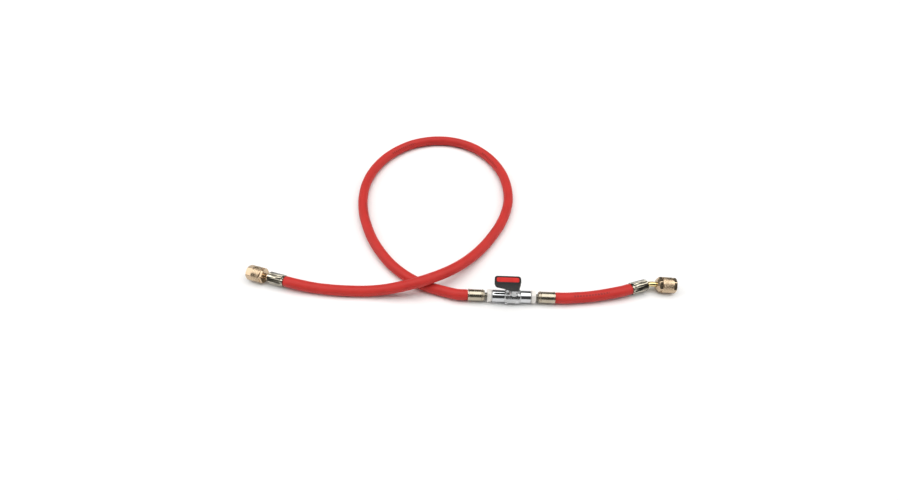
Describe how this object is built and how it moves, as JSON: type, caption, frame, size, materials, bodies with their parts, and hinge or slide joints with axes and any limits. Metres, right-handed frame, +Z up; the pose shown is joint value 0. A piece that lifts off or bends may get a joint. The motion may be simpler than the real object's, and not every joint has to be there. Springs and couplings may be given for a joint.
{
  "type": "refrigerant charging hose",
  "caption": "Red rubber service hose with knurled swivel nuts on its ends and an inline quarter-turn ball valve with a lever near one end.",
  "frame": {"origin": "foot of the valve body, on the floor under the valve stem's axis", "axes": "+X along the valve towards the short hose, +Z up along the stem, the hose loop on the +Y side"},
  "size_m": [0.4978, 0.2993, 0.038],
  "materials": {
    "hose_rubber": "satin red hose cover",
    "seal_rubber": "matt black seal",
    "seat_plastic": "white seat plastic",
    "valve_chrome": "polished chrome, cast middle dull",
    "pale_nickel": "pale gold nickel plate",
    "dark_nickel": "dark crimped nickel plate",
    "nut_nickel": "warm nickel plate, knurled",
    "brass": "bright turned brass",
    "steel": "turned steel",
    "lever_plastic": "black moulded plastic",
    "insert_plastic": "red moulded plastic"
  },
  "bodies": {
    "root": {"valve_body": "valve_chrome", "outlet_seat": "seat_plastic", "inlet_seat": "seat_plastic", "seat_retainer": "brass", "stem_packing": "seat_plastic", "packing_nut": "brass", "inlet_ferrule": "pale_nickel", "inlet_nipple": "pale_nickel", "outlet_ferrule": "pale_nickel", "outlet_nipple": "pale_nickel", "left_ferrule": "dark_nickel", "left_stem": "brass", "left_gasket": "seal_rubber", "right_ferrule": "dark_nickel", "bent_stem": "brass", "right_gasket": "seal_rubber", "core_depressor": "brass", "main_hose": "hose_rubber", "short_hose": "hose_rubber"},
    "handle": {"lever": "lever_plastic", "lever_screw": "steel", "lever_insert": "insert_plastic", "valve_stem": "steel", "ball": "valve_chrome"},
    "left_swivel": {"left_nut": "nut_nickel"},
    "right_swivel": {"right_nut": "nut_nickel"}
  },
  "joints": [
    {"name": "lever_turn", "type": "hinge", "parent": "root", "child": "handle", "pos_m": [0, 0, 0.0075], "axis": [0, 0, 1], "range_deg": [0, 90]},
    {"name": "left_nut_spin", "type": "hinge", "parent": "root", "child": "left_swivel", "pos_m": [-0.29895, 0.01824, 0.00915], "axis": [-0.9681, 0.2504, 0], "continuous": true},
    {"name": "right_nut_spin", "type": "hinge", "parent": "root", "child": "right_swivel", "pos_m": [0.17572, 0.02237, 0.00915], "axis": [0.9986, -0.0523, 0], "continuous": true}
  ]
}
